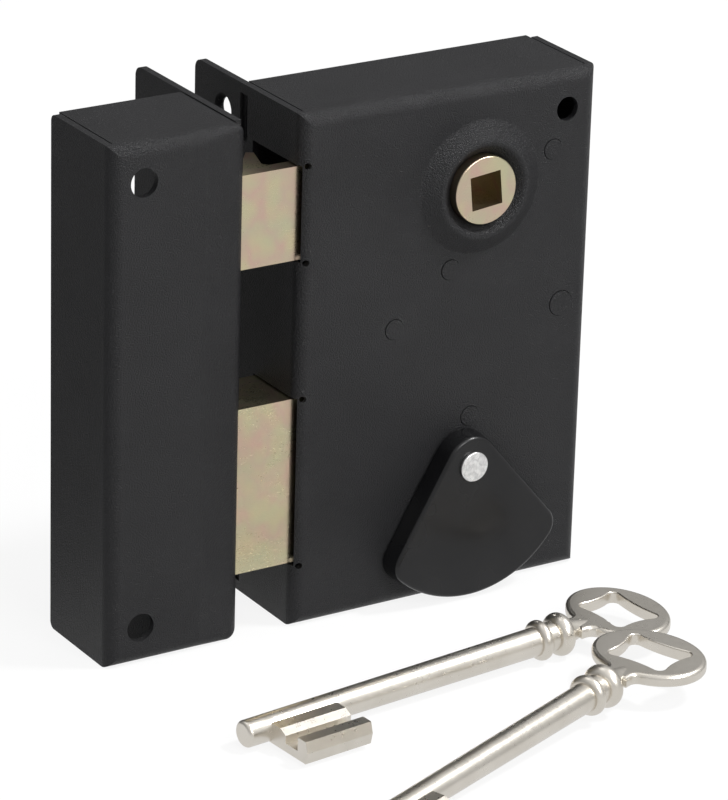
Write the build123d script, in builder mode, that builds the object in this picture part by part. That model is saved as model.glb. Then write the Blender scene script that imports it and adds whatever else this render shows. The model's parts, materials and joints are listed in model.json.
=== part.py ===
"""Rim box lock with a spring latch, a lever dead bolt, its box strike and two keys, in millimetres.

X runs along the case front from the forend, Y from the viewer to the door and Z up.
The origin is on the spindle axis, in the plane where the case meets the door.
Places are given as distances from the forend, depths behind the case front and heights above the base.
"""
import os
from math import asin, cos, degrees, radians, sin

from build123d import *

# Sheet metal shared by the case and the strike
sheet = 1.5
bend_radius = 2.7
seam_gap = 0.3
flange_corner = 2.2
fit_gap = 0.15
running_gap = 0.08
working_gap = 0.3
overrun = 1.0

# Case
case_width = 70.0
case_height = 110.0
case_depth = 24.0
backset = 42.0
spindle_height = 88.6
forend_depth = 42.3
bolt_opening_front = 0.9
latch_opening_back = 19.0
relief_radius = 0.65
relief_inset = 1.6
slot_reach = 2.7
slot_height = 9.7
slot_margin = 2.1
tongue_recess = 0.5
tongue_setback = 0.3

# Spindle boss pressed out of the case front
boss_radius = 14.9
boss_height = 2.7
boss_foot_radius = 14.1
boss_crest_radius = 9.8
boss_mouth_height = 0.3
boss_fillet = 1.3

# Fixing holes
fixing_radius = 2.55
upper_fixing = (62.7, 102.0)
lower_fixing = (55.5, 8.0)
forend_hole_radius = 2.25
forend_sink_radius = 3.3
forend_hole_depth = 30.9
forend_hole_margin = 7.6

# Posts riveted through the case front: distance from the forend and height above the base
screw_pillar_place = (59.7, 93.8)
lever_pillar_place = (63.2, 59.8)
spring_post_place = (35.8, 71.8)
guide_stud_place = (22.8, 61.2)
slot_stud_place = (41.8, 38.8)
spigot_radius = 2.1
lever_spigot_radius = 2.65
spigot_gap = 0.12
spigot_shift = (-0.09, 0.06)
screw_pillar_radius = 2.3
lever_pillar_radius = 2.8
stud_radius = 2.1
spring_post_depth = 12.0

# Screws of the back plate
screw_radius = 1.5
screw_head_radius = 2.8
screw_length = 8.0
screw_slot_width = 0.7
screw_slot_depth = 0.6
sink_angle = 90

# Latch bolt
bolt_front = 2.1
latch_bottom = 79.35
latch_height = 19.7
latch_projection = 12.5
latch_travel = 12.0
latch_plate = 3.3
latch_tip = 1.5
latch_crown = (4.6, 14.0)
latch_heel = (3.2, 13.2)
latch_root = (5.3, 6.6)
latch_neck = 4.4
latch_length = 52.0
upper_rail_height = 2.45
bolt_edge_fillet = 0.35

# Follower and its arms
hub_radius = 7.2
hub_front = 2.6
collar_radius = 8.8
arm_front = 5.7
arm_thickness = 5.5
square_side = 7.2
square_turn = 6
drive_arm = 16.0
drive_tip_radius = 1.8
drive_tip_half_width = 1.0
arm_root_half_width = 3.2
return_arm = 12.5
return_tip_radius = 1.4

# Stump that the drive arm pushes, and the spring peg beside it
stump_width = 4.0
stump_height = 5.5
stump_top_gap = 0.5
stump_back = 9.3
peg_radius = 0.8
peg_drop = 1.45
peg_length = 6.0

# Latch spring
spring_wire = 0.6
spring_radius = 1.3
spring_turns = 14

# Dead bolt
dead_bottom = 13.8
dead_height = 35.9
dead_thickness = 14.7
dead_projection = 14.5
dead_travel = 14.0
dead_head_end = 7.0
tail_thickness = 3.0
tail_start = 4.0
tail_step = 44.0
tail_end = 54.0
stump_place = (30.0, 47.0)
bolt_stump_radius = 2.0
bolt_stump_back = 9.8

# Keyhole and key sweep
key_height = 20.5
key_across = 41.5
key_reach = 13.9
keyhole_gap = 0.35
notch_width = 7.0
notch_height = 2.5

# Levers
lever_fronts = (5.4, 7.6)
lever_thickness = 1.8
lever_eye_radius = 5.0
lever_window = (27.6, 48.7, 41.8, 49.4)
lever_tooth = (35.4, 40.4, 47.9)
lever_left = 25.5
lever_tail_top = 58.5
lever_tail_bottom = 40.5
lever_shoulder = (29.0, 59.0)
lever_neck_top = (58.0, 65.0)
lever_neck_bottom = (60.0, 54.2)
belly_left = (33.5, 37.5)
belly_low = (41.5, 31.8)
belly_right = (49.5, 38.5)
leaf_thickness = 0.5
leaf_root = (55.0, 62.6)
leaf_bend = (45.0, 66.9)
leaf_tip = (33.0, 69.9)
leaf_bend_radius = 12.0
spacer_wall = 1.5

# Follower return spring, a hairpin round the spring post
hairpin_front = 9.9
hairpin_thickness = 1.0
hairpin_wire = 0.7
hairpin_reach = 10.4
hairpin_lift = 30

# Key cover
cover_pivot = (39.6, 30.0)
cover_back = 0.5
cover_thickness = 4.7
cover_length = 29.6
cover_eye_radius = 6.6
cover_half_angle = 35
cover_bottom_radius = 25.2
cover_corner_radius = 4.6
cover_draft = 5
cover_edge_fillet = 0.9
cover_wall = 1.5
cover_hollow = 2.4
cover_turn = 5
rivet_radius = 1.6
rivet_head_radius = 3.2
rivet_head_height = 0.65
rivet_tail_radius = 2.1
rivet_tail_height = 0.4

# Box strike
strike_gap = 11.7
strike_width = 31.0
strike_depth = 24.2
strike_lip_depth = 43.4
ramp_width = 10.0
ramp_setback = 1.3
ramp_edge_radius = 0.7
plate_corner = 1.5
strike_hole_radius = 3.0
strike_hole_inset = 7.4
strike_hole_margin = 8.0
pocket_margin = 0.8
pocket_reach = 1.4
latch_pocket_back = 20.0

# Keys
shank_radius = 2.75
shank_tip_fillet = 0.8
shank_root_radius = 3.0
first_collar = 71.9
collar_gap = 2.0
first_collar_radius = 4.2
second_collar_radius = 4.5
first_collar_width = 2.5
second_collar_width = 3.6
neck_radius = 3.1
bow_width = 24.6
bow_length = 19.0
bow_gap = 4.2
bow_thickness = 2.6
bow_edge_fillet = 0.9
bow_corner_shares = ((-0.62, 0.6), (0.6, 0.7))
bow_bulge_shares = (-0.5, 0.52, 0.48)
bow_corner_fillet = 1.3
bow_shoulder = 5.0
bow_shoulder_fillet = 1.5
bow_root = 3.0
bit_start = 5.3
bit_length = 15.6
bit_floor = 2.4
bit_block_top = 2.3
bit_block_inner = 10.7
bit_web = 1.8
bit_rib_outer = 6.8
bit_rib_inner = 5.0
bit_rib_drop = 0.9
bit_rib_top = 1.9
bit_facet = 0.6
bow_opening_fillet = 0.35
key_1_tip = (-36.9, -43.2)
key_1_turn = 5.0
key_1_tilt = 0.9
key_2_tip = (-40.3, -89.5)
key_2_turn = 19.6
key_2_tilt = 2.4
floor_gap = 0.02

# Planes and directions worked out from the sizes above
forend_x = -backset
face_y = -case_depth
base_z = -spindle_height
plate_front = case_depth - sheet
hub_hole_radius = hub_radius + running_gap
latch_top = latch_bottom + latch_height
latch_back = bolt_front + latch_plate
tail_back = bolt_front + tail_thickness
half_sweep = degrees(asin(latch_travel / 2 / drive_arm))
strike_right = -strike_gap
strike_left = strike_right - strike_width
second_collar = first_collar + first_collar_width + collar_gap
bow_centre = second_collar + second_collar_width + bow_gap + bow_length / 2

os.makedirs("parts", exist_ok=True)


def front_plane(depth):
    """Plane parallel to the door at a depth behind the case front, seen by the viewer."""
    return Plane(origin=(0, face_y + depth, 0), x_dir=(1, 0, 0), z_dir=(0, -1, 0))


def spot(place):
    """Sketch point for a place given from the forend and the base."""
    along, height = place
    return (forend_x + along, base_z + height)


def block(left, right, front, back, bottom, top, mode=Mode.ADD):
    """Box between two distances from the forend, two depths and two heights above the base."""
    with Locations((forend_x + left, face_y + front, base_z + bottom)):
        Box(right - left, back - front, top - bottom, align=(Align.MIN,) * 3, mode=mode)


def rod(place, front, back, radius, mode=Mode.ADD):
    """Round bar square to the door, between two depths."""
    with BuildSketch(front_plane(back)) as disc:
        with Locations(spot(place)):
            Circle(radius)
    extrude(disc.sketch, amount=back - front, mode=mode)


def save(piece, name):
    """Label a finished piece and write it."""
    piece.part.label = name
    export_step(piece.part, f"parts/{name}.step")


def mirrored_heights(margin):
    """Heights of a place near the base and its twin near the top."""
    return (margin, case_height - margin)


def bit_outline(clearance):
    """Corners of the key bit's section: distance from the shank axis and offset to the grooved side."""
    return [
        (0, -bit_floor - clearance),
        (-key_reach + bit_facet, -bit_floor - clearance),
        (-key_reach - clearance, 0),
        (-key_reach + bit_facet, bit_block_top + clearance),
        (-bit_block_inner + clearance, bit_block_top + clearance),
        (-bit_block_inner + clearance, bit_web - bit_floor + clearance),
        (-bit_rib_outer - clearance, bit_web - bit_floor + clearance),
        (-bit_rib_outer - clearance, bit_rib_top - bit_rib_drop + clearance),
        (-bit_rib_inner, bit_rib_top + clearance),
        (0, bit_rib_top + clearance),
    ]


def cut_keyhole():
    """Cut the keyhole, which follows the bit's section, through the case front and the back plate."""
    across, height = spot((key_across, key_height))
    outline = [(across + side, height + reach) for reach, side in bit_outline(keyhole_gap)]
    with BuildSketch(front_plane(case_depth + overrun)) as keyhole:
        with Locations((across, height)):
            Circle(shank_root_radius + keyhole_gap)
        Polygon(*outline, align=None)
    extrude(keyhole.sketch, amount=case_depth + 2 * overrun, mode=Mode.SUBTRACT)


# Case shell: front, forend and three flanges folded from one sheet
with BuildPart() as case_hollow:
    block(sheet, case_width - sheet, sheet, case_depth + overrun, sheet, case_height - sheet)
    fillet(case_hollow.edges().group_by(Axis.Y)[0], bend_radius - sheet)

with BuildPart() as case_shell:
    block(0, case_width, 0, case_depth, 0, case_height)
    fillet(case_shell.edges().group_by(Axis.Y)[0], bend_radius)
    add(case_hollow.part, mode=Mode.SUBTRACT)
    with BuildSketch(Plane.YZ.offset(forend_x)) as forend_outline:
        with Locations((face_y + (bend_radius + forend_depth) / 2, base_z + case_height / 2)):
            Rectangle(forend_depth - bend_radius, case_height)
        fillet(forend_outline.vertices().group_by(Axis.X)[-1], flange_corner)
    extrude(amount=sheet)
    for seam in (sheet, case_width - sheet - seam_gap):
        for edge in (0, case_height):
            block(
                seam, seam + seam_gap, bend_radius, case_depth + overrun,
                edge - sheet - fit_gap, edge + sheet + fit_gap, Mode.SUBTRACT,
            )
    block(
        case_width - sheet, case_width + overrun, plate_front, case_depth + overrun,
        -overrun, case_height + overrun, Mode.SUBTRACT,
    )
    for bottom, top, back in (
        (latch_bottom, latch_top, latch_opening_back),
        (dead_bottom, dead_bottom + dead_height, bolt_front + dead_thickness + working_gap),
    ):
        block(
            -overrun, bend_radius, bolt_opening_front, back,
            bottom - working_gap, top + working_gap, Mode.SUBTRACT,
        )
        for height in (bottom - working_gap, top + working_gap):
            rod((relief_inset, height), -overrun, bend_radius, relief_radius, Mode.SUBTRACT)
    for bottom in (slot_margin, case_height - slot_margin - slot_height):
        block(
            -overrun, sheet + overrun, case_depth - slot_reach, case_depth + fit_gap,
            bottom, bottom + slot_height, Mode.SUBTRACT,
        )
    for height in mirrored_heights(forend_hole_margin):
        forend_hole = Plane(
            origin=(forend_x, face_y + forend_hole_depth, base_z + height),
            x_dir=(0, 1, 0),
            z_dir=(-1, 0, 0),
        )
        with Locations(forend_hole):
            CounterSinkHole(
                forend_hole_radius, forend_sink_radius,
                depth=sheet + overrun, counter_sink_angle=sink_angle,
            )
    rod((backset, spindle_height), -overrun, sheet + overrun, boss_radius, Mode.SUBTRACT)
    with BuildSketch(Plane.XY) as boss_profile:
        boss_points = [
            (boss_radius, face_y),
            (boss_foot_radius, face_y),
            (boss_crest_radius, face_y - boss_height),
            (hub_hole_radius, face_y - boss_mouth_height),
        ]
        with BuildLine():
            crest = FilletPolyline(*boss_points, radius=boss_fillet)
            under = FilletPolyline(*[(radius, depth + sheet) for radius, depth in boss_points], radius=boss_fillet)
            Line(crest @ 0, under @ 0)
            Line(crest @ 1, under @ 1)
        make_face()
    revolve(axis=Axis.Y)
    for place in (upper_fixing, lower_fixing):
        rod(place, -overrun, sheet + overrun, fixing_radius, Mode.SUBTRACT)
    for place, radius in (
        (screw_pillar_place, spigot_radius),
        (lever_pillar_place, lever_spigot_radius),
        (spring_post_place, spigot_radius),
        (guide_stud_place, spigot_radius),
        (slot_stud_place, spigot_radius),
    ):
        hole_place = tuple(value + shift for value, shift in zip(place, spigot_shift))
        rod(hole_place, -overrun, sheet + overrun, radius + spigot_gap, Mode.SUBTRACT)
    rod(cover_pivot, -overrun, sheet + overrun, rivet_radius + fit_gap, Mode.SUBTRACT)
    cut_keyhole()
save(case_shell, "case_shell")

# Back plate, hooked into the forend and screwed to the two pillars
with BuildPart() as back_plate:
    block(
        sheet + fit_gap, case_width, plate_front, case_depth,
        sheet + fit_gap, case_height - sheet - fit_gap,
    )
    for bottom in (slot_margin, case_height - slot_margin - slot_height):
        block(
            tongue_recess, sheet + 2 * fit_gap, plate_front, case_depth - tongue_setback,
            bottom + working_gap, bottom + slot_height - working_gap,
        )
    rod((backset, spindle_height), plate_front - overrun, case_depth + overrun, hub_hole_radius, Mode.SUBTRACT)
    for place in (upper_fixing, lower_fixing):
        rod(place, plate_front - overrun, case_depth + overrun, fixing_radius, Mode.SUBTRACT)
    for place in (screw_pillar_place, lever_pillar_place):
        across, height = spot(place)
        with Locations(Plane(origin=(across, 0, height), x_dir=(1, 0, 0), z_dir=(0, 1, 0))):
            CounterSinkHole(
                screw_radius + fit_gap, screw_head_radius + fit_gap,
                depth=sheet + overrun, counter_sink_angle=sink_angle,
            )
    cut_keyhole()
save(back_plate, "back_plate")

# Pillars that carry the back plate, with a spigot flush in the case front and a tapped back end
for name, place, radius, spigot in (
    ("screw_pillar", screw_pillar_place, screw_pillar_radius, spigot_radius),
    ("lever_pillar", lever_pillar_place, lever_pillar_radius, lever_spigot_radius),
):
    with BuildPart() as pillar:
        rod(place, sheet, plate_front, radius)
        rod(place, 0, sheet, spigot)
        rod(place, case_depth - screw_length - overrun, case_depth, screw_radius + running_gap, Mode.SUBTRACT)
    save(pillar, name)

# Short posts: one carries the hairpin spring, two guide the dead bolt's tail
for name, place, back in (
    ("spring_post", spring_post_place, spring_post_depth),
    ("guide_stud", guide_stud_place, tail_back),
    ("slot_stud", slot_stud_place, tail_back),
):
    with BuildPart() as post:
        rod(place, sheet, back, stud_radius)
        rod(place, 0, sheet, spigot_radius)
    save(post, name)

# Countersunk screws through the back plate
with BuildPart() as back_plate_screws:
    for place in (screw_pillar_place, lever_pillar_place):
        rod(place, case_depth - screw_length, case_depth, screw_radius)
        with BuildSketch(front_plane(case_depth)):
            with Locations(spot(place)):
                Circle(screw_head_radius)
        extrude(amount=screw_head_radius - screw_radius, taper=sink_angle / 2)
        across, height = place
        block(
            across - screw_head_radius, across + screw_head_radius,
            case_depth - screw_slot_depth, case_depth,
            height - screw_slot_width / 2, height + screw_slot_width / 2, Mode.SUBTRACT,
        )
save(back_plate_screws, "back_plate_screws")

# Latch bolt: bevelled head, neck and a fork that straddles the follower
stump_left = backset - drive_arm * sin(radians(half_sweep)) + drive_tip_radius + working_gap
stump_top = case_height - sheet - stump_top_gap
stump_bottom = stump_top - stump_height
fork_left = backset - collar_radius - latch_travel
peg_height = stump_top - peg_drop
peg_depth = (latch_back + stump_back) / 2
with BuildPart() as latch_bolt:
    latch_plan = [
        (-latch_projection, bolt_front),
        (-latch_projection, bolt_front + latch_tip),
        (-latch_crown[0], latch_crown[1]),
        (-latch_heel[0], latch_heel[1]),
        (-latch_root[0], latch_root[1]),
        (-latch_neck, latch_back),
        (latch_length, latch_back),
        (latch_length, bolt_front),
    ]
    with BuildSketch(Plane.XY.offset(base_z + latch_bottom)):
        Polygon(*[(forend_x + along, face_y + depth) for along, depth in latch_plan], align=None)
    extrude(amount=latch_height)
    heel_edges = latch_bolt.edges().filter_by(Axis.Z).sort_by(Axis.X)
    fillet(heel_edges[0:2], bolt_edge_fillet)
    block(
        fork_left, latch_length + overrun, bolt_front - overrun, latch_back + overrun,
        spindle_height - hub_radius - working_gap, latch_top - upper_rail_height, Mode.SUBTRACT,
    )
    block(stump_left, stump_left + stump_width, bolt_front, latch_back, latch_top, stump_top)
    block(stump_left, stump_left + stump_width, latch_back, stump_back, stump_bottom, stump_top)
    peg_plane = Plane(
        origin=(forend_x + stump_left + stump_width, face_y + peg_depth, base_z + peg_height),
        x_dir=(0, 1, 0),
        z_dir=(1, 0, 0),
    )
    with BuildSketch(peg_plane):
        Circle(peg_radius)
    extrude(amount=peg_length)
save(latch_bolt, "latch_bolt")

# Latch spring: compression coil between the stump and the right flange
spring_start = stump_left + stump_width + spring_wire / 2 + fit_gap
spring_end = case_width - sheet - spring_wire / 2 - fit_gap
spring_pitch = (spring_end - spring_start) / spring_turns
with BuildPart() as latch_spring:
    spring_origin = (forend_x + spring_start, face_y + peg_depth, base_z + peg_height)
    with BuildLine() as spring_path:
        Helix(spring_pitch, spring_end - spring_start, spring_radius, center=spring_origin, direction=(1, 0, 0))
    with BuildSketch(Plane(origin=spring_path.line @ 0, z_dir=spring_path.line % 0)):
        Circle(spring_wire / 2)
    sweep(path=spring_path.line, is_frenet=True)
save(latch_spring, "latch_spring")
print("latch spring gap between turns", round(spring_pitch - spring_wire, 2))

# Follower: barrel with a square hole, a drive arm and a return arm
with BuildPart() as follower:
    rod((backset, spindle_height), -hub_front, case_depth, hub_radius)
    rod((backset, spindle_height), arm_front, plate_front - working_gap, collar_radius)
    with BuildSketch(front_plane(arm_front + arm_thickness)):
        for reach, tip_radius, turn in (
            (drive_arm, drive_tip_radius, half_sweep),
            (return_arm, return_tip_radius, half_sweep + 180),
        ):
            Polygon(
                (-arm_root_half_width, 0),
                (arm_root_half_width, 0),
                (drive_tip_half_width, reach),
                (-drive_tip_half_width, reach),
                rotation=turn,
                align=None,
            )
            with Locations((-reach * sin(radians(turn)), reach * cos(radians(turn)))):
                Circle(tip_radius)
    extrude(amount=arm_thickness)
    with BuildSketch(front_plane(case_depth + overrun)):
        Rectangle(square_side, square_side, rotation=square_turn)
    extrude(amount=case_depth + hub_front + 2 * overrun, mode=Mode.SUBTRACT)
    front_rim = follower.edges().filter_by(GeomType.CIRCLE).sort_by(Axis.Y)[0]
    fillet(front_rim, bolt_edge_fillet)
save(follower, "follower")

# Follower return spring: hairpin round its post, one leg on the return arm
with BuildPart() as follower_spring:
    hairpin_inner = stud_radius + fit_gap
    with BuildSketch(front_plane(hairpin_front + hairpin_thickness)):
        with Locations(spot(spring_post_place)):
            Circle(hairpin_inner + hairpin_wire)
            Circle(hairpin_inner, mode=Mode.SUBTRACT)
        leg_offset = hairpin_inner + hairpin_wire / 2
        across, height = spot(spring_post_place)
        hairpin_tail = spring_post_place[0] - sheet - fit_gap
        for reach, turn in ((hairpin_reach, hairpin_lift), (hairpin_tail, 180)):
            with Locations((across - leg_offset * sin(radians(turn)), height + leg_offset * cos(radians(turn)))):
                Rectangle(reach, hairpin_wire, rotation=turn, align=(Align.MIN, Align.CENTER))
    extrude(amount=hairpin_thickness)
save(follower_spring, "follower_spring")

# Dead bolt: solid head and a plate tail with a stud slot and a key notch
dead_top = dead_bottom + dead_height
tail_bottom = key_height + key_reach * cos(asin(dead_travel / 2 / key_reach))
tail_top = guide_stud_place[1] - stud_radius - working_gap
tail_low_top = lever_pillar_place[1] - lever_pillar_radius - spacer_wall - working_gap
slot_half_height = stud_radius + fit_gap
with BuildPart() as dead_bolt:
    block(
        -dead_projection, dead_head_end, bolt_front, bolt_front + dead_thickness,
        dead_bottom, dead_top,
    )
    head_edges = dead_bolt.edges().group_by(Axis.X)[0]
    fillet(head_edges, bolt_edge_fillet)
    block(tail_start, tail_step, bolt_front, tail_back, tail_bottom, tail_top)
    block(tail_start, tail_end, bolt_front, tail_back, tail_bottom, tail_low_top)
    notch_centre = key_across - dead_travel / 2
    block(
        notch_centre - notch_width / 2, notch_centre + notch_width / 2,
        bolt_front - overrun, tail_back + overrun,
        tail_bottom - overrun, tail_bottom + notch_height, Mode.SUBTRACT,
    )
    block(
        slot_stud_place[0] - dead_travel - slot_half_height, slot_stud_place[0] + slot_half_height,
        bolt_front - overrun, tail_back + overrun,
        slot_stud_place[1] - slot_half_height, slot_stud_place[1] + slot_half_height, Mode.SUBTRACT,
    )
    rod(stump_place, bolt_front - overrun, tail_back + overrun, bolt_stump_radius, Mode.SUBTRACT)
save(dead_bolt, "dead_bolt")

# Stump riveted in the tail, which the levers' windows let through
with BuildPart() as bolt_stump:
    rod(stump_place, bolt_front, bolt_stump_back, bolt_stump_radius)
save(bolt_stump, "bolt_stump")



def leaf_strip(front):
    """Face of a leaf spring on edge, from its slit in the lever to the spring post."""
    with BuildSketch(front_plane(front + lever_thickness)) as strip:
        with BuildLine() as leaf_line:
            FilletPolyline(spot(leaf_root), spot(leaf_bend), spot(leaf_tip), radius=leaf_bend_radius)
            offset(amount=leaf_thickness / 2, side=Side.BOTH)
        make_face(leaf_line.edges())
    return strip.sketch


# Levers, lifted by the key, each with its leaf spring
eye_bore = lever_pillar_radius + running_gap
for number, lever_front in enumerate(lever_fronts, start=1):
    with BuildPart() as lever:
        with BuildSketch(front_plane(lever_front + lever_thickness)):
            with BuildLine():
                belly = ThreePointArc(spot(belly_left), spot(belly_low), spot(belly_right))
                Polyline(
                    belly @ 1,
                    spot(lever_neck_bottom),
                    spot(lever_neck_top),
                    spot(lever_shoulder),
                    spot((lever_left, lever_tail_top - sheet)),
                    spot((lever_left, lever_tail_bottom)),
                    belly @ 0,
                )
            make_face()
            with Locations(spot(lever_pillar_place)):
                Circle(lever_eye_radius)
                Circle(eye_bore, mode=Mode.SUBTRACT)
            left, right, bottom, top = lever_window
            tooth_left, tooth_right, tooth_bottom = lever_tooth
            window = [
                (left, bottom), (right, bottom), (right, top), (tooth_right, top),
                (tooth_right, tooth_bottom), (tooth_left, tooth_bottom), (tooth_left, top), (left, top),
            ]
            Polygon(*[spot(corner) for corner in window], align=None, mode=Mode.SUBTRACT)
        extrude(amount=lever_thickness)
        extrude(leaf_strip(lever_front), amount=lever_thickness, mode=Mode.SUBTRACT)
    save(lever, f"lever_{number}")
    with BuildPart() as lever_spring:
        extrude(leaf_strip(lever_front), amount=lever_thickness)
    save(lever_spring, f"lever_{number}_spring")

# Sleeves that hold the levers at their depths on the pillar
with BuildPart() as lever_spacers:
    spacer_gap = fit_gap / 2
    sleeve_fronts = (sheet, lever_fronts[0] + lever_thickness, lever_fronts[1] + lever_thickness)
    sleeve_backs = (lever_fronts[0], lever_fronts[1], plate_front)
    for front, back in zip(sleeve_fronts, sleeve_backs):
        rod(lever_pillar_place, front + spacer_gap, back - spacer_gap, lever_pillar_radius + spacer_wall)
    rod(lever_pillar_place, 0, case_depth, lever_pillar_radius, Mode.SUBTRACT)
save(lever_spacers, "lever_spacers")

# Key cover: drafted, hollow cap that hangs from its rivet
pivot_across, pivot_height = spot(cover_pivot)
side_slope = radians(cover_half_angle)


def cover_outline(inset):
    """Edges round the pivot: two straight sides and an arc below, drawn in by an inset."""
    radius = cover_bottom_radius - inset
    arc_centre = cover_length - cover_bottom_radius
    eye = cover_eye_radius - inset
    apex = eye / sin(side_slope)
    # The side meets the arc where its distance from the arc's centre is the arc's radius.
    along = (apex + arc_centre) * cos(side_slope)
    square = along * along + radius * radius - (apex + arc_centre) ** 2
    reach = along + square ** 0.5
    corner = (reach * sin(side_slope), apex - reach * cos(side_slope))
    with BuildLine() as outline:
        Line((0, apex), corner)
        ThreePointArc(corner, (0, -arc_centre - radius), (-corner[0], corner[1]))
        Line((-corner[0], corner[1]), (0, apex))
    return outline.edges()


with BuildPart() as key_cover:
    cover_plane = Plane(
        origin=(pivot_across, face_y - cover_back, pivot_height),
        x_dir=(cos(radians(cover_turn)), 0, sin(radians(cover_turn))),
        z_dir=(0, -1, 0),
    )
    with BuildSketch(cover_plane) as cover_shape:
        make_face(cover_outline(0))
        fillet(cover_shape.vertices().sort_by(Axis.Y)[-1], cover_eye_radius)
        fillet(cover_shape.vertices().group_by(Axis.Y)[0], cover_corner_radius)
    extrude(amount=cover_thickness, taper=cover_draft)
    fillet(key_cover.faces().sort_by(Axis.Y)[0].edges(), cover_edge_fillet)
    with BuildSketch(cover_plane) as hollow_shape:
        make_face(cover_outline(cover_wall))
        fillet(hollow_shape.vertices().sort_by(Axis.Y)[-1], cover_eye_radius - cover_wall)
        fillet(hollow_shape.vertices().group_by(Axis.Y)[0], cover_corner_radius - cover_wall)
        Circle(cover_eye_radius, mode=Mode.SUBTRACT)
    extrude(amount=cover_hollow, mode=Mode.SUBTRACT)
    rod(cover_pivot, -cover_back - cover_thickness - overrun, overrun, rivet_radius + running_gap, Mode.SUBTRACT)
save(key_cover, "key_cover")

# Washer between the cover and the case front
with BuildPart() as cover_washer:
    rod(cover_pivot, -cover_back + fit_gap, 0, cover_eye_radius - cover_wall)
    rod(cover_pivot, -cover_back, overrun, rivet_radius + running_gap, Mode.SUBTRACT)
save(cover_washer, "cover_washer")

# Cover rivet, with its tail closed behind the case front
with BuildPart() as cover_rivet:
    head_back = -cover_back - cover_thickness - running_gap
    rod(cover_pivot, head_back - rivet_head_height, head_back, rivet_head_radius)
    fillet(cover_rivet.edges().group_by(Axis.Y)[0], rivet_head_height / 3)
    rod(cover_pivot, head_back, sheet + rivet_tail_height, rivet_radius)
    rod(cover_pivot, sheet, sheet + rivet_tail_height, rivet_tail_radius)
save(cover_rivet, "cover_rivet")



def strike_section(along, inset, edge_radius, front):
    """Section of the strike box at a distance from the forend, drawn in by an inset."""
    back = strike_depth + overrun if inset else strike_depth
    with BuildSketch(Plane.YZ.offset(forend_x + along)) as section:
        with Locations((face_y + front + inset, base_z + inset)):
            Rectangle(back - front - inset, case_height - 2 * inset, align=(Align.MIN, Align.MIN))
        fillet(section.vertices().group_by(Axis.X)[0], edge_radius)
    return section.sketch


# Box strike: front with a ramp for the latch, flanges and a lip along the frame
crease = strike_right - ramp_width
lip_front = ramp_setback + bend_radius
with BuildPart() as strike_hollow:
    block(
        strike_left + sheet, crease + bend_radius, sheet, strike_depth + overrun,
        sheet, case_height - sheet,
    )
    fillet(strike_hollow.faces().sort_by(Axis.Y)[0].edges(), bend_radius - sheet)
    block(
        crease, crease + 2 * bend_radius, -overrun, strike_depth + 2 * overrun,
        -overrun, case_height + overrun, Mode.SUBTRACT,
    )
    loft([
        strike_section(crease, sheet, bend_radius - sheet, 0),
        strike_section(strike_right - sheet, sheet, ramp_edge_radius, ramp_setback),
    ])

with BuildPart() as strike_box:
    block(strike_left, crease + bend_radius, 0, strike_depth, 0, case_height)
    fillet(strike_box.faces().sort_by(Axis.Y)[0].edges(), bend_radius)
    block(
        crease, crease + 2 * bend_radius, -overrun, strike_depth + overrun,
        -overrun, case_height + overrun, Mode.SUBTRACT,
    )
    loft([
        strike_section(crease, 0, bend_radius, 0),
        strike_section(strike_right, 0, ramp_edge_radius, ramp_setback),
    ])
    fillet(strike_box.edges().filter_by(Axis.Z).group_by(Axis.X)[-1].sort_by(Axis.Y)[0], bend_radius)
    add(strike_hollow.part, mode=Mode.SUBTRACT)
    with BuildSketch(Plane.YZ.offset(forend_x + strike_right)) as lip_outline:
        with Locations((face_y + (lip_front + strike_lip_depth) / 2, base_z + case_height / 2)):
            Rectangle(strike_lip_depth - lip_front, case_height)
        fillet(lip_outline.vertices().group_by(Axis.X)[-1], flange_corner)
    extrude(amount=-sheet)
    for seam in (strike_left + sheet, strike_right - sheet - seam_gap):
        for edge in (0, case_height):
            block(
                seam, seam + seam_gap, bend_radius, strike_depth + overrun,
                edge - sheet - fit_gap, edge + sheet + fit_gap, Mode.SUBTRACT,
            )
    side_edges = strike_box.edges().filter_by(Axis.X).filter_by_position(
        Axis.X, forend_x + strike_left, forend_x + strike_left + sheet
    )
    fillet(side_edges.group_by(Axis.Y)[-1], plate_corner)
    for bottom, top, back in (
        (latch_bottom, latch_top, latch_pocket_back),
        (dead_bottom, dead_top, bolt_front + dead_thickness + pocket_margin),
    ):
        block(
            strike_right - sheet - pocket_reach, strike_right + overrun, bolt_front - working_gap, back,
            bottom - pocket_margin, top + pocket_margin, Mode.SUBTRACT,
        )
    for height in mirrored_heights(strike_hole_margin):
        rod((strike_left + strike_hole_inset, height), -overrun, sheet + overrun, strike_hole_radius, Mode.SUBTRACT)
save(strike_box, "strike_box")

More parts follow.
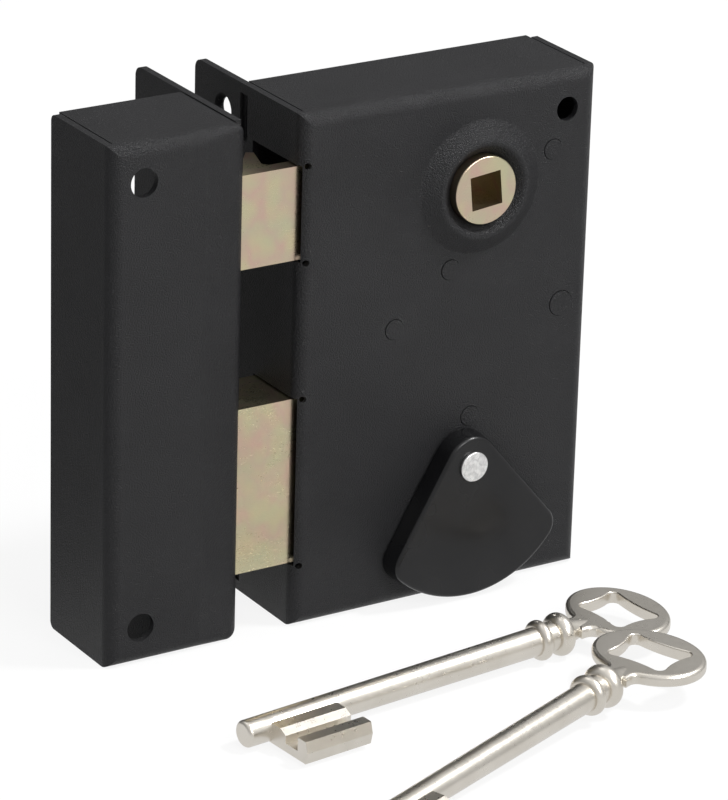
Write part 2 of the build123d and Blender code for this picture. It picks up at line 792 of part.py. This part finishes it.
# Key, made along its own axis from the tip with the bit flat beside it
near_share, side_share, far_share = bow_bulge_shares
half_length = bow_length / 2
half_width = bow_width / 2
(near_along, near_across), (far_along, far_across) = [
    (along_share * half_length, across_share * half_width) for along_share, across_share in bow_corner_shares
]
with BuildPart() as key_bow:
    with BuildSketch(Plane.XY.offset(-bow_thickness / 2)) as bow_shape:
        with Locations((bow_centre, 0)):
            Ellipse(half_length, half_width)
            with Locations((-half_length, 0)):
                Rectangle(bow_shoulder, 2 * neck_radius)
        fillet(bow_shape.vertices().group_by(Axis.X)[1], bow_shoulder_fillet)
    extrude(amount=bow_thickness)
    with BuildSketch(Plane(origin=(bow_centre, 0, -bow_thickness))) as star:
        with BuildLine():
            ThreePointArc((near_along, near_across), (0, side_share * half_width), (far_along, far_across))
            ThreePointArc((far_along, far_across), (far_share * half_length, 0), (far_along, -far_across))
            ThreePointArc((far_along, -far_across), (0, -side_share * half_width), (near_along, -near_across))
            ThreePointArc((near_along, -near_across), (near_share * half_length, 0), (near_along, near_across))
        make_face()
        fillet(star.vertices(), bow_corner_fillet)
    extrude(amount=2 * bow_thickness, mode=Mode.SUBTRACT)
    bow_faces = key_bow.faces().sort_by(Axis.Z)
    fillet(bow_faces[0].outer_wire().edges() + bow_faces[-1].outer_wire().edges(), bow_edge_fillet)
    bow_faces = key_bow.faces().sort_by(Axis.Z)
    fillet(bow_faces[0].inner_wires()[0].edges() + bow_faces[-1].inner_wires()[0].edges(), bow_opening_fillet)

with BuildPart() as key_blank:
    neck_start = second_collar + second_collar_width / 2
    neck_end = bow_centre - half_length + bow_root
    with BuildSketch(Plane.XY) as key_profile:
        Polygon(
            (0, 0),
            (0, shank_radius),
            (first_collar, shank_root_radius),
            (first_collar, neck_radius),
            (neck_start, neck_radius),
            (neck_end, bow_thickness / 2 - bow_opening_fillet),
            (neck_end, 0),
            align=None,
        )
        fillet(key_profile.vertices().sort_by_distance((0, shank_radius))[0], shank_tip_fillet)
        for start, width, radius in (
            (first_collar, first_collar_width, first_collar_radius),
            (second_collar, second_collar_width, second_collar_radius),
        ):
            with Locations((start + width / 2, 0)):
                Rectangle(width, radius - width / 2, align=(Align.CENTER, Align.MIN))
            with Locations((start + width / 2, radius - width / 2)):
                Circle(width / 2)
    revolve(axis=Axis.X)
    with BuildSketch(Plane.YZ.offset(bit_start)):
        Polygon(*bit_outline(0), align=None)
    extrude(amount=bit_length)
    add(key_bow.part)


def laid_key(tip, turn, tilt):
    """Key turned and tilted about its tip, resting just clear of the floor."""
    along, depth = tip
    laid = key_blank.part.moved(Location((0, 0, 0), (0, -tilt, 0)))
    laid = laid.moved(Location((forend_x + along, face_y + depth, 0), (0, 0, turn)))
    return laid.moved(Location((0, 0, base_z + floor_gap - laid.bounding_box().min.Z)))


# Keys lying in front of the lock, the second with its bow on the first one's
with BuildPart() as key_1:
    add(laid_key(key_1_tip, key_1_turn, key_1_tilt))
save(key_1, "key_1")

with BuildPart() as key_2:
    add(laid_key(key_2_tip, key_2_turn, key_2_tilt))
save(key_2, "key_2")
print("gap between the keys", round(key_1.part.distance_to(key_2.part), 3))
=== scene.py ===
"""Looks of a rim box lock with its box strike and two keys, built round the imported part."""
from __future__ import annotations

import json
import logging
import math
from dataclasses import dataclass, field
from enum import Enum
from typing import Any, Sequence

import bpy
from mathutils import Matrix, Vector


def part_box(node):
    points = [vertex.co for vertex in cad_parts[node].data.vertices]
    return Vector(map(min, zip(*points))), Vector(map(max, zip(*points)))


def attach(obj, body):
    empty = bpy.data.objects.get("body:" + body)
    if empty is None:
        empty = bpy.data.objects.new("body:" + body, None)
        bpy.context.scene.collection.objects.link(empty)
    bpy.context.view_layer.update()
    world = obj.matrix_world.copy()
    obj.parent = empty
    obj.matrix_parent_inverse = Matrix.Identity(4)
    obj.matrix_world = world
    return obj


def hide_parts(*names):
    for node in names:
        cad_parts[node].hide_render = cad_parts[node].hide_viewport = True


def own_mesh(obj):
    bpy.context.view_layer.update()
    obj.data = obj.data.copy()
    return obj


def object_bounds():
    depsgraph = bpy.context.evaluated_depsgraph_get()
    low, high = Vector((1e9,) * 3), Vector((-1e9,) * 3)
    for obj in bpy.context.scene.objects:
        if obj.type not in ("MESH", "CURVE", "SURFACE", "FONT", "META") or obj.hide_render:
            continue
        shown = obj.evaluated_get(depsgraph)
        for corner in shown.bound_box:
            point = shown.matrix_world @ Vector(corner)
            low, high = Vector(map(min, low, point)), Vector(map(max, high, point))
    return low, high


LOG = logging.getLogger("rim_lock")
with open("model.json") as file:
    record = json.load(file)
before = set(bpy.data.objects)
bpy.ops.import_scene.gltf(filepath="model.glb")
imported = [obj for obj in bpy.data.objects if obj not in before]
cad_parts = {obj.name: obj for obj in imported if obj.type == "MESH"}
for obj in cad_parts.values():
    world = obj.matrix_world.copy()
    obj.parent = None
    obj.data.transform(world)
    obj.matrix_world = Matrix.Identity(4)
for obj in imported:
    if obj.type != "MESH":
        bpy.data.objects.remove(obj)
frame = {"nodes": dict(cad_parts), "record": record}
CAD_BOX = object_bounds()
MM = 0.001
Colour = tuple[float, float, float]
Place = tuple[float, float, float]


class Tone:
    """A socket of a node tree that takes part in arithmetic, one Math node for each operation."""

    def __init__(self, tree: bpy.types.NodeTree, socket: bpy.types.NodeSocket) -> None:
        """Wraps a socket.

        Args:
            tree: The node tree the socket belongs to.
            socket: An output socket that carries one number.
        """
        self.tree = tree
        self.socket = socket

    def _math(self, operation: str, first: Any, second: Any) -> "Tone":
        """Adds a Math node.

        Args:
            operation: The Math node's operation.
            first: A Tone or a number.
            second: A Tone or a number.

        Returns:
            The node's output as a Tone.
        """
        node = self.tree.nodes.new("ShaderNodeMath")
        node.operation = operation
        for index, value in enumerate((first, second)):
            if isinstance(value, Tone):
                self.tree.links.new(value.socket, node.inputs[index])
            else:
                node.inputs[index].default_value = value
        return Tone(self.tree, node.outputs[0])

    def __add__(self, other: Any) -> "Tone":
        """Sum of two values."""
        return self._math("ADD", self, other)

    def __radd__(self, other: Any) -> "Tone":
        """Sum of two values."""
        return self._math("ADD", other, self)

    def __sub__(self, other: Any) -> "Tone":
        """Difference of two values."""
        return self._math("SUBTRACT", self, other)

    def __rsub__(self, other: Any) -> "Tone":
        """Difference of two values."""
        return self._math("SUBTRACT", other, self)

    def __mul__(self, other: Any) -> "Tone":
        """Product of two values."""
        return self._math("MULTIPLY", self, other)

    def at_most(self, other: Any) -> "Tone":
        """The smaller of two values."""
        return self._math("MINIMUM", self, other)

    def at_least(self, other: Any) -> "Tone":
        """The larger of two values."""
        return self._math("MAXIMUM", self, other)


class Bench:
    """A material's node tree, with one method that adds any node."""

    def __init__(self, name: str) -> None:
        """Makes an empty material.

        Args:
            name: The material's name.
        """
        self.material = bpy.data.materials.new(name)
        self.material.use_nodes = True
        self.tree = self.material.node_tree
        self.tree.nodes.clear()
        self.place = self.node("ShaderNodeTexCoord", {}, {}).outputs["Object"]

    def node(self, kind: str, settings: dict[str, Any], values: dict[Any, Any]) -> bpy.types.Node:
        """Adds a node.

        Args:
            kind: The node's type.
            settings: Attributes that are set before the sockets; "stops" fills a colour ramp.
            values: Socket names or numbers with a Tone, a socket or a plain value.

        Returns:
            The new node.
        """
        made = self.tree.nodes.new(kind)
        for name, value in settings.items():
            if name == "stops":
                ramp = made.color_ramp
                while len(ramp.elements) < len(value):
                    ramp.elements.new(0.5)
                for element, (position, colour) in zip(ramp.elements, value):
                    element.position = position
                    element.color = (*colour, 1.0)
            else:
                setattr(made, name, value)
        for name, value in values.items():
            if isinstance(value, Tone):
                self.tree.links.new(value.socket, made.inputs[name])
            elif isinstance(value, bpy.types.NodeSocket):
                self.tree.links.new(value, made.inputs[name])
            else:
                made.inputs[name].default_value = value
        return made

    def noise(self, size: float, detail: float = 2.0, stretch: Sequence[float] = (1, 1, 1)) -> Tone:
        """Adds smooth noise on Object coordinates.

        Args:
            size: The size of one patch in metres.
            detail: The noise's octaves.
            stretch: How many times longer a patch is along each axis.

        Returns:
            The noise as a Tone from 0 to 1.
        """
        scale = tuple(1 / (size * length) for length in stretch)
        mapped = self.node("ShaderNodeMapping", {}, {"Vector": self.place, "Scale": scale})
        made = self.node(
            "ShaderNodeTexNoise", {}, {"Vector": mapped.outputs[0], "Scale": 1.0, "Detail": detail}
        )
        return Tone(self.tree, made.outputs[0])

    def ramp(self, factor: Tone, stops: Sequence[tuple[float, Colour]]) -> bpy.types.NodeSocket:
        """Adds a colour ramp.

        Args:
            factor: What drives it.
            stops: Positions and colours.

        Returns:
            The colour socket.
        """
        return self.node("ShaderNodeValToRGB", {"stops": stops}, {"Fac": factor}).outputs[0]

    def blend(self, factor: Any, low: Any, high: Any) -> bpy.types.NodeSocket:
        """Mixes two colours.

        Args:
            factor: A Tone or a number.
            low: The colour at 0.
            high: The colour at 1.

        Returns:
            The colour socket.
        """
        node = self.tree.nodes.new("ShaderNodeMix")
        node.data_type = "RGBA"
        for index, value in ((0, factor), (6, low), (7, high)):
            if isinstance(value, Tone):
                self.tree.links.new(value.socket, node.inputs[index])
            elif isinstance(value, bpy.types.NodeSocket):
                self.tree.links.new(value, node.inputs[index])
            elif index:
                node.inputs[index].default_value = (*value, 1.0)
            else:
                node.inputs[index].default_value = value
        return node.outputs[2]

    def uneven(self, centre: float, *swings: tuple[Tone, float]) -> Tone:
        """Lets noises move a value round its centre.

        Args:
            centre: The value where every noise is at 0.5.
            swings: Each noise, and how far it moves the value in all.

        Returns:
            The moved value.
        """
        value: Any = centre - sum(swing for _, swing in swings) / 2
        for noise, swing in swings:
            value = noise * swing + value
        return value

    def bump(self, height: Tone, depth: float) -> bpy.types.NodeSocket:
        """Turns a height into a normal.

        Args:
            height: Height from 0 to 1.
            depth: What 1 stands for, in metres.

        Returns:
            The normal socket.
        """
        values = {"Strength": 1.0, "Distance": depth, "Height": height}
        return self.node("ShaderNodeBump", {}, values).outputs[0]

    def finish(self, values: dict[str, Any]) -> bpy.types.Material:
        """Adds the surface shader and the output.

        Args:
            values: The shader's sockets.

        Returns:
            The finished material.
        """
        shader = self.node("ShaderNodeBsdfPrincipled", {}, values)
        self.node("ShaderNodeOutputMaterial", {}, {"Surface": shader.outputs[0]})
        return self.material


@dataclass(frozen=True)
class PowderCoat:
    """Fine-textured black powder coat. Sizes are in metres."""

    name: str = "black_powder_coat"
    dark: Colour = (0.0046, 0.0046, 0.0055)
    light: Colour = (0.0095, 0.0095, 0.0108)
    specks: Colour = (0.03, 0.03, 0.033)
    stops: tuple[float, ...] = (0.3, 0.62, 0.7, 0.8)
    roughness: float = 0.36
    roughness_swing: float = 0.16
    specular: float = 0.32
    cloud: float = 0.012
    grain: float = 0.0003
    grain_octaves: float = 3.0
    grain_height: float = 0.00036
    grain_share: float = 0.6

    def make(self) -> bpy.types.Material:
        """Builds the material: mottled black with light specks and a fine grain.

        Returns:
            The material.
        """
        bench = Bench(self.name)
        grain = bench.noise(self.grain, self.grain_octaves)
        cloud = bench.noise(self.cloud)
        mottle = grain * self.grain_share + cloud * (1 - self.grain_share)
        colours = (self.dark, self.light, self.light, self.specks)
        return bench.finish({
            "Base Color": bench.ramp(mottle, list(zip(self.stops, colours))),
            "Roughness": bench.uneven(self.roughness, (grain, self.roughness_swing)),
            "Specular IOR Level": self.specular,
            "Normal": bench.bump(grain, self.grain_height),
        })


@dataclass(frozen=True)
class Lacquer:
    """Smooth glossy black of the swinging cover. Sizes are in metres."""

    name: str = "glossy_black_cover"
    dark: Colour = (0.0035, 0.0035, 0.004)
    light: Colour = (0.0065, 0.0065, 0.007)
    stops: tuple[float, ...] = (0.3, 0.7)
    roughness: float = 0.24
    roughness_swing: float = 0.3
    specular: float = 0.36
    cloud: float = 0.01
    ripple: float = 0.0016
    ripple_height: float = 0.00001

    def make(self) -> bpy.types.Material:
        """Builds the material: near black, unevenly glossy, with a faint ripple.

        Returns:
            The material.
        """
        bench = Bench(self.name)
        ripple = bench.noise(self.ripple)
        cloud = bench.noise(self.cloud)
        return bench.finish({
            "Base Color": bench.ramp(cloud, list(zip(self.stops, (self.dark, self.light)))),
            "Roughness": bench.uneven(self.roughness, (cloud, self.roughness_swing)),
            "Specular IOR Level": self.specular,
            "Normal": bench.bump(ripple, self.ripple_height),
        })


@dataclass(frozen=True)
class Plating:
    """Plated metal with clouds of two tints and fine brushing. Sizes are in metres."""

    name: str
    base: Colour
    tint: Colour
    other_tint: Colour
    roughness: float
    brushing: Place
    brush_height: float
    cloud: float = 0.009
    cloud_stretch: Place = (1, 1, 1.6)
    cloud_swing: float = 0.08
    stops: tuple[float, ...] = (0.36, 0.52, 0.66)
    other_share: float = 0.67
    other_stretch: Place = (1.4, 1, 1)
    other_gain: float = 1.6
    other_start: float = 0.5
    other_limit: float = 0.6
    streak: float = 0.00025
    streak_swing: float = 0.14

    def make(self) -> bpy.types.Material:
        """Builds the material: clouds of two tints over the base and a brushed normal.

        Returns:
            The material.
        """
        bench = Bench(self.name)
        cloud = bench.noise(self.cloud, stretch=self.cloud_stretch)
        other = bench.noise(self.cloud * self.other_share, stretch=self.other_stretch)
        streak = bench.noise(self.streak, stretch=self.brushing)
        tinted = bench.ramp(cloud, list(zip(self.stops, (self.base, self.tint, self.base))))
        share = (other * self.other_gain - self.other_start).at_most(self.other_limit)
        swings = ((cloud, self.cloud_swing), (streak, self.streak_swing))
        return bench.finish({
            "Base Color": bench.blend(share.at_least(0.0), tinted, self.other_tint),
            "Metallic": 1.0,
            "Roughness": bench.uneven(self.roughness, *swings),
            "Normal": bench.bump(streak, self.brush_height),
        })


class Finish(Enum):
    """The finishes of the lock, by the part's material slots, and the cover's own."""

    BLACK_COAT = "black_coat"
    COVER_BLACK = "cover_black"
    YELLOW_ZINC = "yellow_zinc"
    ZINC_STEEL = "zinc_steel"
    SPRING_STEEL = "spring_steel"
    RIVET_ZINC = "rivet_zinc"
    NICKEL = "nickel"


FINISHES: dict[Finish, PowderCoat | Lacquer | Plating] = {
    Finish.BLACK_COAT: PowderCoat(),
    Finish.COVER_BLACK: Lacquer(),
    Finish.YELLOW_ZINC: Plating(
        name="yellow_passivated_zinc",
        base=(0.64, 0.55, 0.36), tint=(0.64, 0.45, 0.37), other_tint=(0.53, 0.55, 0.37),
        roughness=0.3, brushing=(3, 1, 1), brush_height=0.000016, cloud=0.007,
    ),
    Finish.ZINC_STEEL: Plating(
        name="bright_zinc",
        base=(0.6, 0.61, 0.63), tint=(0.55, 0.57, 0.61), other_tint=(0.64, 0.63, 0.6),
        roughness=0.33, brushing=(1, 12, 1), brush_height=0.000002,
    ),
    Finish.SPRING_STEEL: Plating(
        name="spring_steel",
        base=(0.32, 0.32, 0.34), tint=(0.28, 0.28, 0.3), other_tint=(0.36, 0.34, 0.31),
        roughness=0.36, brushing=(8, 8, 1), brush_height=0.000001,
    ),
    Finish.RIVET_ZINC: Plating(
        name="bright_rivet_plate",
        base=(0.9, 0.9, 0.9), tint=(0.6, 0.6, 0.6), other_tint=(0.92, 0.91, 0.9),
        roughness=0.3, brushing=(1, 1, 1), brush_height=0.00002, cloud=0.0011,
    ),
    Finish.NICKEL: Plating(
        name="bright_nickel",
        base=(0.73, 0.69, 0.62), tint=(0.68, 0.64, 0.57), other_tint=(0.76, 0.72, 0.66),
        roughness=0.3, brushing=(4, 4, 4), brush_height=0.000001,
    ),
}


def plain_mesh(name: str, modified: bpy.types.Object) -> bpy.types.Object:
    """Turns an object with a Geometry Nodes modifier into a plain mesh object at the origin.

    Args:
        name: The new object's name.
        modified: The object with the modifier; it is removed.

    Returns:
        The plain mesh object.
    """
    evaluated = modified.evaluated_get(bpy.context.evaluated_depsgraph_get())
    mesh = bpy.data.meshes.new_from_object(evaluated)
    mesh.name = name
    bpy.data.objects.remove(modified)
    made = bpy.data.objects.new(name, mesh)
    bpy.context.scene.collection.objects.link(made)
    return made


@dataclass
class RivetHeads:
    """Coated, slightly crowned ends of the posts that are riveted through the case front."""

    small: tuple[str, ...] = ("screw_pillar", "spring_post", "guide_stud", "slot_stud")
    large: tuple[str, ...] = ("lever_pillar",)
    crown: float = 0.05 * MM
    crown_top_share: float = 0.6
    skin: float = 0.03 * MM
    rim_depth: float = 0.1 * MM
    sides: int = 48

    def _tree(self, radius: float, finish: bpy.types.Material) -> bpy.types.NodeTree:
        """Builds the tree that sets one crowned disc on every point.

        Args:
            radius: The disc's radius in metres.
            finish: The disc's material.

        Returns:
            The Geometry Nodes tree.
        """
        tree = bpy.data.node_groups.new("rivet_heads", "GeometryNodeTree")
        tree.interface.new_socket("Points", in_out="INPUT", socket_type="NodeSocketGeometry")
        size = tree.interface.new_socket("Radius", in_out="INPUT", socket_type="NodeSocketFloat")
        size.default_value = radius
        tree.interface.new_socket("Heads", in_out="OUTPUT", socket_type="NodeSocketGeometry")
        add, link = tree.nodes.new, tree.links.new
        source, target = add("NodeGroupInput"), add("NodeGroupOutput")
        disc = add("GeometryNodeMeshCone")
        disc.inputs["Vertices"].default_value = self.sides
        disc.inputs["Side Segments"].default_value = 1
        disc.inputs["Radius Top"].default_value = radius * self.crown_top_share
        disc.inputs["Depth"].default_value = self.crown
        link(source.outputs["Radius"], disc.inputs["Radius Bottom"])
        on_points = add("GeometryNodeInstanceOnPoints")
        link(source.outputs["Points"], on_points.inputs["Points"])
        link(disc.outputs["Mesh"], on_points.inputs["Instance"])
        on_points.inputs["Rotation"].default_value = (math.pi / 2, 0, 0)
        real = add("GeometryNodeRealizeInstances")
        link(on_points.outputs["Instances"], real.inputs[0])
        dressed = add("GeometryNodeSetMaterial")
        dressed.inputs["Material"].default_value = finish
        link(real.outputs[0], dressed.inputs["Geometry"])
        link(dressed.outputs[0], target.inputs[0])
        return tree

    def _heads(
        self, name: str, members: Sequence[str], finish: bpy.types.Material
    ) -> bpy.types.Object:
        """Builds the heads of posts that share a radius.

        Args:
            name: The piece's name.
            members: The posts' node names.
            finish: The heads' material.

        Returns:
            The finished piece.
        """
        points, radius = [], 0.0
        for member in members:
            mesh = frame["nodes"][member].data
            front = min(vertex.co.y for vertex in mesh.vertices)
            rim = [vertex.co for vertex in mesh.vertices if vertex.co.y < front + self.rim_depth]
            left, right = min(co.x for co in rim), max(co.x for co in rim)
            bottom, top = min(co.z for co in rim), max(co.z for co in rim)
            radius = (right - left) / 2
            points.append(((left + right) / 2, front - self.skin, (bottom + top) / 2))
        mesh = bpy.data.meshes.new(name)
        mesh.from_pydata(points, [], [])
        holder = bpy.data.objects.new(name, mesh)
        bpy.context.scene.collection.objects.link(holder)
        modifier = holder.modifiers.new("heads", "NODES")
        modifier.node_group = self._tree(radius, finish)
        return plain_mesh(name, holder)

    def build(self, finish: bpy.types.Material) -> list[bpy.types.Object]:
        """Builds the small heads and the lever pillar's larger one.

        Args:
            finish: The heads' material.

        Returns:
            The pieces.
        """
        made = [
            self._heads("rivet_heads", self.small, finish),
            self._heads("lever_rivet_head", self.large, finish),
        ]
        for piece in made:
            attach(piece, "case")
            LOG.info("built %s", piece.name)
        return made


@dataclass
class LatchSpring:
    """The latch's coil spring, copied in the node's place; the copy does not shorten as the latch
    is drawn in.
    """

    node: str = "latch_spring"
    joint: str = "latch_slide"

    def build(self, finish: bpy.types.Material) -> bpy.types.Object:
        """Builds the spring in the node's place.

        Args:
            finish: The wire's material.

        Returns:
            The spring.
        """
        low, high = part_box(self.node)
        joints = {row["name"]: row for row in frame["record"]["behaviour"]["joints"]}
        keep = 1 - joints[self.joint]["range_m"][1] / (high[0] - low[0])
        piece = bpy.data.objects.new("latch_coil", frame["nodes"][self.node].data.copy())
        bpy.context.scene.collection.objects.link(piece)
        piece.data.materials.clear()
        piece.data.materials.append(finish)
        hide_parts(self.node)
        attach(piece, "case")
        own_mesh(piece)
        LOG.info("built %s", piece.name)
        return piece


@dataclass
class Wardrobe:
    """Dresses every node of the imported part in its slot's finish."""

    materials: dict[Finish, bpy.types.Material] = field(default_factory=dict)
    own: dict[str, Finish] = field(default_factory=lambda: {"key_cover": Finish.COVER_BLACK})

    def dress(self) -> None:
        """Makes each finish once and gives it to its nodes."""
        slots = {row["node"]: row["material_slot"] for row in frame["record"]["subparts"]}
        for finish, recipe in FINISHES.items():
            self.materials[finish] = recipe.make()
        for name, piece in frame["nodes"].items():
            piece.data.materials.clear()
            finish = self.own.get(name, Finish(slots[name]))
            piece.data.materials.append(self.materials[finish])
            LOG.info("dressed %s", name)


@dataclass(frozen=True)
class Lamp:
    """A square lamp aimed at the object, in metres and watts."""

    name: str
    place: Place
    width: float
    power: float


@dataclass
class Studio:
    """Pale floor, world and lamps."""

    floor_height: float
    floor_reach: float = 3.0
    floor_colour: Colour = (0.82, 0.82, 0.82)
    floor_glow: float = 0.86
    mirrored: float = 0.7
    mirrored_across: float = 2.0
    mirrored_depth: float = 5.0
    mirrored_least: float = 0.26
    mirrored_most: float = 0.82
    sky: float = 0.34
    sky_height: float = 0.5
    sky_depth: float = 0.25
    sky_least: float = 0.06
    lamps: tuple[Lamp, ...] = (
        Lamp("key_lamp", (0.05, -1.0, 0.65), 0.45, 5.2),
        Lamp("edge_lamp", (0.5, -0.35, 0.85), 0.16, 9.0),
        Lamp("back_lamp", (-0.3, 0.5, 1.1), 0.8, 1.5),
    )

    def floor(self) -> bpy.types.Object:
        """Builds the floor, which looks white and keeps the object's shadow.

        Reflections see it less white with depth, so sides that mirror the floor behind stay dark.

        Returns:
            The floor.
        """
        reach, height = self.floor_reach, self.floor_height
        mesh = bpy.data.meshes.new("floor")
        signs = ((-1, -1), (1, -1), (1, 1), (-1, 1))
        mesh.from_pydata([(x * reach, y * reach, height) for x, y in signs], [], [(0, 1, 2, 3)])
        piece = bpy.data.objects.new("floor", mesh)
        bpy.context.scene.collection.objects.link(piece)
        bench = Bench("pale_floor")
        matt = bench.node("ShaderNodeBsdfDiffuse", {}, {"Color": (*self.floor_colour, 1.0)})
        path = bench.node("ShaderNodeLightPath", {}, {})
        camera, glossy, through = (
            Tone(bench.tree, path.outputs[f"Is {kind} Ray"])
            for kind in ("Camera", "Glossy", "Transmission")
        )
        seen = camera.at_least(through)
        split = bench.node("ShaderNodeSeparateXYZ", {}, {0: bench.place})
        across, depth = (Tone(bench.tree, split.outputs[index]) for index in (0, 1))
        near = self.mirrored + across * self.mirrored_across - depth * self.mirrored_depth
        near = near.at_most(self.mirrored_most).at_least(self.mirrored_least)
        light = {"Color": seen.at_least(near), "Strength": 1.0}
        glow = bench.node("ShaderNodeEmission", {}, light)
        share = (seen * self.floor_glow).at_least(glossy)
        parts = {0: share, 1: matt.outputs[0], 2: glow.outputs[0]}
        mixed = bench.node("ShaderNodeMixShader", {}, parts)
        bench.node("ShaderNodeOutputMaterial", {}, {"Surface": mixed.outputs[0]})
        mesh.materials.append(bench.material)
        return piece

    def world(self) -> None:
        """Builds a world that looks white and lights the object mostly from above and in front."""
        world = bpy.data.worlds.new("studio")
        bpy.context.scene.world = world
        world.use_nodes = True
        tree = world.node_tree
        tree.nodes.clear()
        coordinates = tree.nodes.new("ShaderNodeTexCoord")
        split = tree.nodes.new("ShaderNodeSeparateXYZ")
        tree.links.new(coordinates.outputs["Generated"], split.inputs[0])
        height = Tone(tree, split.outputs[2])
        depth = Tone(tree, split.outputs[1])
        path = tree.nodes.new("ShaderNodeLightPath")
        seen = Tone(tree, path.outputs["Is Camera Ray"])
        room = height * self.sky_height - depth * self.sky_depth + self.sky
        strength = seen + (1.0 - seen) * room.at_least(self.sky_least)
        light = tree.nodes.new("ShaderNodeBackground")
        light.inputs["Color"].default_value = (1, 1, 1, 1)
        tree.links.new(strength.socket, light.inputs["Strength"])
        target = tree.nodes.new("ShaderNodeOutputWorld")
        tree.links.new(light.outputs[0], target.inputs["Surface"])

    def light(self) -> None:
        """Hangs the lamps, all aimed at the object."""
        aim = (Vector(CAD_BOX[0]) + Vector(CAD_BOX[1])) / 2
        for lamp in self.lamps:
            data = bpy.data.lights.new(lamp.name, "AREA")
            data.shape = "SQUARE"
            data.size = lamp.width
            data.energy = lamp.power
            made = bpy.data.objects.new(lamp.name, data)
            made.location = lamp.place
            made.rotation_euler = (aim - Vector(lamp.place)).to_track_quat("-Z", "Y").to_euler()
            bpy.context.scene.collection.objects.link(made)

    def build(self) -> None:
        """Builds floor, world and lamps."""
        self.floor()
        self.world()
        self.light()


@dataclass(frozen=True)
class Eye:
    """The camera at the photograph's place, in metres; the sensor is in millimetres."""

    place: Place = (-0.489698, -0.754523, 0.309285)
    right: Place = (0.849778, -0.526458, 0.026833)
    down: Place = (-0.176729, -0.332483, -0.926403)
    ahead: Place = (0.496633, 0.782494, -0.375577)
    focal_pixels: float = 4624.2
    image_height: int = 800
    sensor: float = 36.0
    clip: tuple[float, float] = (0.05, 20.0)

    def build(self) -> bpy.types.Object:
        """Makes the camera and sets it as the scene's.

        Returns:
            The camera.
        """
        data = bpy.data.cameras.new("camera")
        data.sensor_width = self.sensor
        data.lens = self.focal_pixels / self.image_height * self.sensor
        data.clip_start, data.clip_end = self.clip
        camera = bpy.data.objects.new("camera", data)
        back, up = -Vector(self.ahead), -Vector(self.down)
        turn = Matrix((self.right, up, back)).transposed()
        camera.matrix_world = Matrix.Translation(self.place) @ turn.to_4x4()
        bpy.context.scene.collection.objects.link(camera)
        bpy.context.scene.camera = camera
        return camera


def main() -> None:
    """Dresses the lock and builds its studio."""
    logging.basicConfig(level=logging.INFO)
    bpy.context.scene.view_settings.view_transform = "Standard"
    wardrobe = Wardrobe()
    wardrobe.dress()
    RivetHeads().build(wardrobe.materials[Finish.BLACK_COAT])
    LatchSpring().build(wardrobe.materials[Finish.SPRING_STEEL])
    Studio(floor_height=float(CAD_BOX[0][2])).build()
    Eye().build()


if __name__ == "__main__":
    main()
